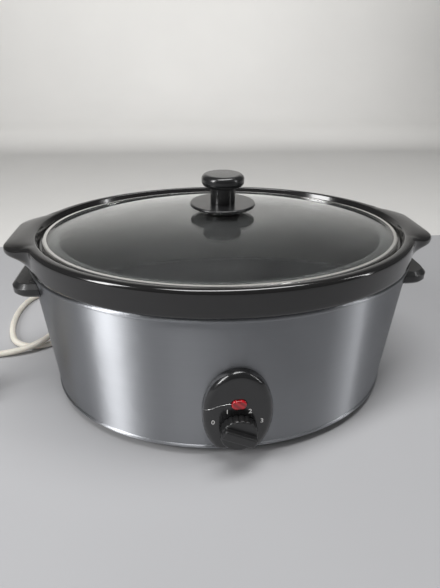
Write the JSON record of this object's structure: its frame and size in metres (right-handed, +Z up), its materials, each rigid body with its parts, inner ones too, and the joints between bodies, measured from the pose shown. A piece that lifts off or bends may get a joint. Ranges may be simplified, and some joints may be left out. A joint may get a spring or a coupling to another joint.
{
  "type": "slow cooker",
  "caption": "Oval electric slow cooker: brushed steel housing, lift-out black crock with ears, domed glass lid with a knob, turning heat dial, pilot lamp and corded plug.",
  "frame": {"origin": "on the floor, under the middle of the oval housing", "axes": "+Z up, the dial faces -Y, +X along the oval's long axis to the viewer's right"},
  "size_m": [0.5828, 0.3804, 0.2173],
  "materials": {
    "steel": "brushed",
    "bright_steel": "polished",
    "well_metal": "matt coated steel",
    "base_paint": "black painted steel",
    "reflector": "bright",
    "heater": "woven heater band",
    "stoneware": "black glazed stoneware",
    "glass": "clear",
    "black_plastic": "gloss",
    "white_plastic": "matt",
    "red_lens": "clear red",
    "rubber": "matt",
    "cord_sheath": "satin cream sheath",
    "wire": "sleeved wire",
    "tie": "matt",
    "plug_plastic": "satin cream",
    "brass": "plain"
  },
  "bodies": {
    "housing": {"outer_housing": "steel", "heating_well": "well_metal", "heater_band": "heater", "heater_strap_low": "bright_steel", "heater_strap_high": "bright_steel", "thermal_fuse": "bright_steel", "base_plate": "base_paint", "foot_front_left": "rubber", "foot_front_right": "rubber", "foot_rear_left": "rubber", "foot_rear_right": "rubber", "base_stud": "bright_steel", "base_washer": "bright_steel", "base_nut": "bright_steel", "spacer_tube": "bright_steel", "heat_reflector": "reflector", "left_handle": "black_plastic", "right_handle": "black_plastic", "left_handle_screws": "bright_steel", "right_handle_screws": "bright_steel", "control_panel": "black_plastic", "pilot_lens": "red_lens", "pilot_lamp": "white_plastic", "rotary_switch": "white_plastic", "switch_nut": "bright_steel", "cord_gland": "cord_sheath", "cord_tail": "cord_sheath", "terminal_block": "white_plastic", "wire_live": "wire", "wire_neutral": "wire", "wire_heater": "wire", "power_cord": "cord_sheath", "cord_coil": "cord_sheath", "cord_tie": "tie", "plug_body": "plug_plastic", "plug_pins": "brass", "plug_pin_sleeves": "black_plastic", "plug_fuse_cover": "plug_plastic"},
    "crock": {"crock": "stoneware"},
    "lid": {"lid_rim": "bright_steel", "glass_lid": "glass", "lid_seal_top": "rubber", "lid_seal_under": "rubber", "lid_knob_guard": "black_plastic", "lid_knob": "black_plastic", "lid_screw": "bright_steel"},
    "dial": {"control_dial": "black_plastic", "switch_shaft": "bright_steel"}
  },
  "joints": [
    {"name": "crock_lift", "type": "slide", "parent": "housing", "child": "crock", "axis": [0, 0, 1], "range_m": [0, 0.16]},
    {"name": "lid_lift", "type": "slide", "parent": "crock", "child": "lid", "axis": [0, 0, 1], "range_m": [0, 0.13]},
    {"name": "dial_turn", "type": "hinge", "parent": "housing", "child": "dial", "pos_m": [0, -0.1487, 0.04], "axis": [0, 1, 0], "range_deg": [0, 130]}
  ]
}
